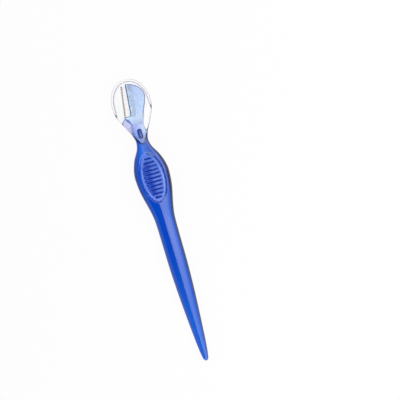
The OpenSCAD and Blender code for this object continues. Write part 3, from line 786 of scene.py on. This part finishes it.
def cavity_rings():
    """Rings of the space inside the cap, straight up to its widest place and rounded above."""
    half, rise = CAP_W / 2 - CAP_WALL, CAP_TOP_L - CAP_WALL
    rings = [squared_ring(half, HANDLE_L + y, CAVITY_T / 2, CAVITY_SQUARENESS)
             for y in (-TONGUE_L - OVERRUN, CAP_SIDE_L)]
    for share in top_places(CAVITY_TOP_RINGS):
        half_x = half * (1 - share**TOP_SQUARENESS) ** (1 / TOP_SQUARENESS)
        half_z = CAVITY_T / 2 * (1 - share**CAVITY_SQUARENESS) ** (1 / CAVITY_SQUARENESS)
        rings.append(squared_ring(half_x, HANDLE_L + CAP_SIDE_L + rise * share, half_z, CAVITY_SQUARENESS))
    return np.array(rings)


def make_cap():
    ys = np.concatenate([[-TONGUE_L - OVERRUN, -OVERRUN], np.linspace(0, CAP_SIDE_L, CAP_SIDE_RINGS),
                         CAP_SIDE_L + CAP_TOP_L * top_places(CAP_TOP_RINGS)])
    outer = [squared_ring(cap_half_w(y), HANDLE_L + y, cap_half_t(y), CAP_SQUARENESS) for y in ys]
    cap = skin("cap_shell", np.array(outer))
    keep = slab("tongue", tongue_outline(0, OVERRUN), -CAP_T, CAP_T)
    above = block("above_horns", (-CAP_W, HANDLE_L, -CAP_T), (CAP_W, HANDLE_L + 2 * CAP_W, CAP_T))
    combine(keep, above, "UNION")
    combine(cap, keep, "INTERSECT")
    combine(cap, skin("cavity", cavity_rings()), "DIFFERENCE")
    combine(cap, slab("window", capsule(LUG_Y, WINDOW_L, WINDOW_W), 0, CAP_T), "DIFFERENCE")
    shade(cap, CAP_SHARP)
    store(cap, "tint", cap_tint(*face_corners(cap)))
    return cap


def cap_tint(place, middle, normal):
    """Clear, with painted shade where its walls stand steep, for the dark refraction that thick clear
    plastic shows at its edges.
    """
    mx, my, mz = middle.T
    steep = smoothstep((CAP_FLATNESS - np.abs(normal[:, 2])) / CAP_FLATNESS_FADE)
    outside = np.abs(mz) > CAVITY_T / 2
    outside |= np.abs(mx) > cap_half_w(my - HANDLE_L) - CAP_WALL / 2
    clear = np.ones_like(place)
    return np.where(outside[:, None], blend(clear, CAP_RIM_SHADE, steep), blend(clear, CAP_INNER_RIM_SHADE, steep))


# Materials

def material(name, **inputs):
    """Principled material with constants on its own sockets. Returns it with its tree and shader."""
    made = bpy.data.materials.new(name)
    made.use_nodes = True
    tree = made.node_tree
    shader = tree.nodes["Principled BSDF"]
    for key, value in inputs.items():
        shader.inputs[key.replace("_", " ")].default_value = value
    return made, tree, shader


def noise(tree, scale, detail=2.0, roughness=0.5, stretch=(1, 1, 1)):
    """Noise in the object's own space, stretched along its axes."""
    place = tree.nodes.new("ShaderNodeTexCoord")
    mapping = tree.nodes.new("ShaderNodeMapping")
    texture = tree.nodes.new("ShaderNodeTexNoise")
    mapping.inputs["Scale"].default_value = stretch
    texture.inputs["Scale"].default_value = scale
    texture.inputs["Detail"].default_value = detail
    texture.inputs["Roughness"].default_value = roughness
    tree.links.new(place.outputs["Object"], mapping.inputs["Vector"])
    tree.links.new(mapping.outputs["Vector"], texture.inputs["Vector"])
    return texture.outputs["Fac"]


def ramp(tree, source, stops):
    """Colours along a value, from stops of (place, colour)."""
    node = tree.nodes.new("ShaderNodeValToRGB")
    elements = node.color_ramp.elements
    elements[0].position, elements[1].position = stops[0][0], stops[-1][0]
    for place, _ in stops[1:-1]:
        elements.new(place)
    for element, (_, colour) in zip(elements, stops):
        element.color = (*colour, 1.0)
    tree.links.new(source, node.inputs["Fac"])
    return node.outputs["Color"]


def grey(level):
    return (level, level, level)


def times(tree, one, other):
    """Product of two colours."""
    mix = tree.nodes.new("ShaderNodeMix")
    mix.data_type = "RGBA"
    mix.blend_type = "MULTIPLY"
    mix.inputs["Factor"].default_value = 1.0
    tree.links.new(one, mix.inputs["A"])
    tree.links.new(other, mix.inputs["B"])
    return mix.outputs["Result"]


def stored(tree, name):
    """Node that reads a colour or a number which store() gave a piece."""
    node = tree.nodes.new("ShaderNodeAttribute")
    node.attribute_name = name
    return node


def tinted(tree, flow):
    """The stored colours of a piece, varied by a flow pattern."""
    return times(tree, stored(tree, "tint").outputs["Color"], flow)


def between(tree, source, low, high):
    """A value spread from low to high."""
    node = tree.nodes.new("ShaderNodeMapRange")
    node.inputs["To Min"].default_value = low
    node.inputs["To Max"].default_value = high
    tree.links.new(source, node.inputs["Value"])
    return node.outputs["Result"]


def maths(tree, operation, one, other):
    """Two values put together, each of them a number or a node's output."""
    node = tree.nodes.new("ShaderNodeMath")
    node.operation = operation
    for socket, value in zip(node.inputs, (one, other)):
        if isinstance(value, float):
            socket.default_value = value
        else:
            tree.links.new(value, socket)
    return node.outputs["Value"]


def switch(tree, share, other):
    """Surface that turns from the tree's own shader to another one by a share."""
    mix = tree.nodes.new("ShaderNodeMixShader")
    tree.links.new(share, mix.inputs["Fac"])
    tree.links.new(tree.nodes["Principled BSDF"].outputs["BSDF"], mix.inputs[1])
    tree.links.new(other, mix.inputs[2])
    tree.links.new(mix.outputs["Shader"], tree.nodes["Material Output"].inputs["Surface"])


def bump(tree, shader, height, strength):
    node = tree.nodes.new("ShaderNodeBump")
    node.inputs["Distance"].default_value = MARK_DEPTH
    node.inputs["Strength"].default_value = strength
    tree.links.new(height, node.inputs["Height"])
    tree.links.new(node.outputs["Normal"], shader.inputs["Normal"])


def lamps_pass(tree, colour):
    """Lets the lamps' light through a clear material, tinted."""
    path = tree.nodes.new("ShaderNodeLightPath")
    clear = tree.nodes.new("ShaderNodeBsdfTransparent")
    clear.inputs["Color"].default_value = (*colour, 1.0)
    switch(tree, path.outputs["Is Shadow Ray"], clear.outputs["BSDF"])


def handle_material():
    """Dense blue resin with the faint flow marks of a moulding, and matt on the ribbed fields."""
    made, tree, shader = material("blue_resin", IOR=1.75)
    marks = noise(tree, scale=60, detail=3, stretch=(1, 0.15, 1))
    flow = ramp(tree, marks, [(0.35, grey(0.92)), (0.65, grey(1.0))])
    tree.links.new(tinted(tree, flow), shader.inputs["Base Color"])
    soft = between(tree, stored(tree, "softness").outputs["Fac"], 0.0, 0.16)
    haze = between(tree, noise(tree, scale=900), 0.05, 0.08)
    tree.links.new(maths(tree, "ADD", soft, haze), shader.inputs["Roughness"])
    bump(tree, shader, noise(tree, scale=2500, detail=1), strength=0.15)
    return made


def head_material():
    """The same resin where it is thin: pale and clear, so that the blade shows behind it."""
    made, tree, shader = material("pale_resin", IOR=1.5, Transmission_Weight=0.5)
    marks = noise(tree, scale=450, detail=3, stretch=(1, 0.6, 1))
    flow = ramp(tree, marks, [(0.3, HEAD_FLOW), (0.7, grey(1.0))])
    tree.links.new(tinted(tree, flow), shader.inputs["Base Color"])
    tree.links.new(between(tree, noise(tree, scale=700), 0.08, 0.14), shader.inputs["Roughness"])
    lamps_pass(tree, THIN_PASS)
    return made


def cover_material():
    """The pale resin of the plate behind the blade."""
    made, tree, shader = material("pale_cover_resin", IOR=1.5, Transmission_Weight=0.5)
    marks = noise(tree, scale=120, detail=3, stretch=(1, 0.4, 1))
    tree.links.new(ramp(tree, marks, [(0.3, COVER_DEEP), (0.7, COVER_PALE)]), shader.inputs["Base Color"])
    tree.links.new(between(tree, noise(tree, scale=700), 0.08, 0.14), shader.inputs["Roughness"])
    lamps_pass(tree, THIN_PASS)
    return made


def clear_material():
    """Clear styrene with faint moulding haze."""
    made, tree, shader = material("clear_styrene", IOR=1.42, Transmission_Weight=1.0)
    haze = ramp(tree, noise(tree, scale=90), [(0.3, CAP_HAZE), (0.7, grey(1.0))])
    tree.links.new(tinted(tree, haze), shader.inputs["Base Color"])
    tree.links.new(between(tree, noise(tree, scale=600), 0.01, 0.04), shader.inputs["Roughness"])
    lamps_pass(tree, CAP_PASS)
    return made


def across_blade(tree, start, width):
    """0 to 1 across a band along the blade, from a distance inwards of its edge."""
    lean = math.radians(-BLADE_LEAN)
    inwards = np.array([math.cos(lean), math.sin(lean), 0.0])
    low = put((*along_edge(start, 0), 0.0)) @ inwards
    place = tree.nodes.new("ShaderNodeTexCoord")
    dot = tree.nodes.new("ShaderNodeVectorMath")
    dot.operation = "DOT_PRODUCT"
    dot.inputs[1].default_value = inwards
    tree.links.new(place.outputs["Object"], dot.inputs[0])
    spread = tree.nodes.new("ShaderNodeMapRange")
    spread.inputs["From Min"].default_value = low
    spread.inputs["From Max"].default_value = low + width * MM
    tree.links.new(dot.outputs["Value"], spread.inputs["Value"])
    return spread.outputs["Result"]


def steel_material():
    """Ground steel, with fine marks along the strip, and bluer where the plate lies over it: painted blue
    of the light that reaches the steel through the plate.
    """
    made, tree, shader = material("ground_steel", Metallic=1.0)
    grain = noise(tree, scale=1500, detail=4, roughness=0.7, stretch=(1, 0.06, 1))
    # Painted blue light on the steel where the plate lies over it
    shine = ramp(tree, across_blade(tree, EXPOSED_W, EXPOSED_FADE), [(0.0, STEEL_BARE), (1.0, STEEL_UNDER_PLATE_LIGHT)])
    marks = ramp(tree, grain, [(0.3, grey(0.92)), (0.7, grey(1.0))])
    tree.links.new(times(tree, shine, marks), shader.inputs["Base Color"])
    tree.links.new(between(tree, grain, 0.3, 0.5), shader.inputs["Roughness"])
    bump(tree, shader, grain, strength=0.5)
    return made


def guard_material():
    """Stamped steel, dark along its fold and pale towards the blade."""
    made, tree, shader = material("guard_steel", Metallic=1.0, Roughness=0.4)
    shine = ramp(tree, across_blade(tree, GUARD_FOLD, GUARD_W), [(0.0, GUARD_DARK), (1.0, GUARD_PALE)])
    grain = noise(tree, scale=1400, detail=4, roughness=0.7)
    marks = ramp(tree, grain, [(0.3, grey(0.75)), (0.7, grey(1.0))])
    tree.links.new(times(tree, shine, marks), shader.inputs["Base Color"])
    return made


def dress(piece, made):
    """Puts one material on a piece or a node of the frame."""
    if not piece.material_slots:
        piece.data.materials.append(made)
    for slot in piece.material_slots:
        slot.material = made


# Stage, in metres

FLOOR_R, FLOOR_SIDES, BACKDROP_H = 3.0, 96, 0.5
FLOOR_WHITE, FLOOR_GLOW = 0.88, 0.93
WORLD_TINT, WORLD_LIGHT, WORLD_SEEN = (0.95, 0.97, 1.0), 0.04, 0.93

# What the photo shows: its width in millimetres, its middle in the frame and the direction of its top
PHOTO_W_MM = 216.6
PHOTO_CENTRE = (0.02097, 0.00527)
PHOTO_UP = (0.28067, 0.95981)

# Camera, with its lens and sensor in millimetres
LENS, SENSOR, CLIP_END = 200.0, 36.0, 10.0

# Lamps over the razor: places across with shares of the light, and places along with its radiance
KEY_H = 0.42
KEY_ACROSS_SHARES = ((-0.025, 1.0), (0.2, 1.0), (0.33, 0.71), (0.49, 0.5), (0.93, 0.22), (1.5, 0.1))
KEY_ALONG = (
    (-0.9, 3.0), (-0.32, 3.0), (-0.2, 1.25), (-0.143, 1.25), (-0.107, 1.36), (-0.077, 1.6), (-0.048, 1.76),
    (-0.026, 2.0), (0.0, 2.3), (0.062, 2.3))
HEAD_ACROSS_SHARES = ((-0.06, 0.46), (0.279, 0.46), (0.281, 1.0), (0.619, 1.0), (0.621, 0.63), (1.5, 0.63))
HEAD_ALONG = ((0.062, 1.75), (0.9, 1.75))

# Panels beside the razor, which look at its middle
SIDE_PLACE, SIDE_SIZE, SIDE_RADIANCE = (-0.62, 0.0, 0.36), (0.26, 1.1), 0.4
FILL_X, FILL_Y, FILL_H, FILL_W, FILL_RADIANCE = -0.5, 0.8, 0.5, 0.55, 3.2
MIDDLE = (0.0, 0.0, 0.0)


def make_floor():
    """Round pale floor with a low pale backdrop standing all round its rim."""
    turns = np.linspace(0, 2 * math.pi, FLOOR_SIDES, endpoint=False)
    rim = [(FLOOR_R * math.cos(a), FLOOR_R * math.sin(a), z) for z in (0, BACKDROP_H) for a in turns]
    faces = [tuple(range(FLOOR_SIDES))]
    for i in range(FLOOR_SIDES):
        after = (i + 1) % FLOOR_SIDES
        faces.append((i, after, after + FLOOR_SIDES, i + FLOOR_SIDES))
    mesh = bpy.data.meshes.new("floor")
    mesh.from_pydata(rim, [], faces)
    floor = bpy.data.objects.new("floor", mesh)
    bpy.context.scene.collection.objects.link(floor)
    mesh.materials.append(floor_material())


def floor_material():
    """Matt white that the camera, reflections and clear pieces see as the photo's white ground."""
    made, tree, shader = material("floor_white", Roughness=1.0, Base_Color=(*grey(FLOOR_WHITE), 1.0))
    shader.inputs["Specular IOR Level"].default_value = 0.0
    path = tree.nodes.new("ShaderNodeLightPath")
    glow = tree.nodes.new("ShaderNodeEmission")
    seen = maths(tree, "MAXIMUM", path.outputs["Is Camera Ray"], path.outputs["Is Glossy Ray"])
    seen = maths(tree, "MAXIMUM", seen, path.outputs["Is Transmission Ray"])
    switch(tree, maths(tree, "MULTIPLY", seen, FLOOR_GLOW), glow.outputs["Emission"])
    return made


def make_world():
    """Dim world, which the camera and clear pieces see as pale."""
    world = bpy.data.worlds.new("studio")
    world.use_nodes = True
    tree = world.node_tree
    background = tree.nodes["Background"]
    background.inputs["Color"].default_value = (*WORLD_TINT, 1.0)
    path = tree.nodes.new("ShaderNodeLightPath")
    seen = maths(tree, "MAXIMUM", path.outputs["Is Camera Ray"], path.outputs["Is Transmission Ray"])
    tree.links.new(between(tree, seen, WORLD_LIGHT, WORLD_SEEN), background.inputs["Strength"])
    bpy.context.scene.world = world


def make_panel(name, centre, size, target, radiance):
    """Soft light panel of an even radiance, which neither the camera nor a clear piece sees."""
    data = bpy.data.lights.new(name, "AREA")
    data.shape = "RECTANGLE"
    data.size, data.size_y = size
    data.energy = radiance * math.pi * size[0] * size[1]
    panel = bpy.data.objects.new(name, data)
    bpy.context.scene.collection.objects.link(panel)
    back = np.array(centre) - np.array(target)
    back /= np.linalg.norm(back)
    across = np.cross((0, 1.0, 0), back)
    across /= np.linalg.norm(across)
    up = np.cross(back, across)
    rows = [(across[i], up[i], back[i], centre[i]) for i in range(3)]
    panel.matrix_world = Matrix([*rows, (0, 0, 0, 1)])
    panel.visible_camera = False
    panel.visible_transmission = False
    return panel


def make_key(name, across, along):
    """Level soft light, from stops of (place, share) across the razor and (place, radiance) along it."""
    brightest = max(radiance for _, radiance in along)
    left, right, low, high = across[0][0], across[-1][0], along[0][0], along[-1][0]
    middle = ((left + right) / 2, (low + high) / 2)
    panel = make_panel(name, (*middle, KEY_H), (right - left, high - low), (*middle, 0.0), brightest)
    panel.data.use_nodes = True
    tree = panel.data.node_tree
    geometry = tree.nodes.new("ShaderNodeNewGeometry")
    parts = tree.nodes.new("ShaderNodeSeparateXYZ")
    tree.links.new(geometry.outputs["Parametric"], parts.inputs["Vector"])
    levels = []
    for axis, stops, top in (("X", across, 1.0), ("Y", along, brightest)):
        start, run = stops[0][0], stops[-1][0] - stops[0][0]
        shares = [((place - start) / run, grey(value / top)) for place, value in stops]
        levels.append(ramp(tree, parts.outputs[axis], shares))
    tree.links.new(maths(tree, "MULTIPLY", *levels), tree.nodes["Emission"].inputs["Strength"])


def make_camera():
    """Camera straight above, turned and placed so that the razor lies as it does in the photo."""
    data = bpy.data.cameras.new("camera")
    data.lens, data.sensor_width, data.clip_end = LENS, SENSOR, CLIP_END
    camera = bpy.data.objects.new("camera", data)
    bpy.context.scene.collection.objects.link(camera)
    height = PHOTO_W_MM * MM * LENS / SENSOR
    (up_x, up_y), (x, y) = PHOTO_UP, PHOTO_CENTRE
    camera.matrix_world = Matrix([(up_y, up_x, 0, x), (-up_x, up_y, 0, y), (0, 0, 1, height), (0, 0, 0, 1)])
    bpy.context.scene.camera = camera


make_camera()
make_floor()
make_world()
make_key("key_handle", KEY_ACROSS_SHARES, KEY_ALONG)
make_key("key_head", HEAD_ACROSS_SHARES, HEAD_ALONG)
make_panel("side_fill", SIDE_PLACE, SIDE_SIZE, MIDDLE, SIDE_RADIANCE)
for number, y in enumerate((-FILL_Y, FILL_Y)):
    make_panel(f"corner_fill_{number}", (FILL_X, y, FILL_H), (FILL_W, FILL_W), MIDDLE, FILL_RADIANCE)

handle = make_handle()
dress(handle, handle_material())
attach(handle, "razor")
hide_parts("handle")

carrier = make_carrier()
dress(carrier, head_material())
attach(carrier, "razor")
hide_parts("blade_carrier")

cap = make_cap()
dress(cap, clear_material())
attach(cap, "cap")
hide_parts("cap")

dress(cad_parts["blade_cover"], cover_material())
dress(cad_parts["blade"], steel_material())
dress(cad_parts["comb_guard"], guard_material())

bpy.context.scene.view_settings.view_transform = "Standard"
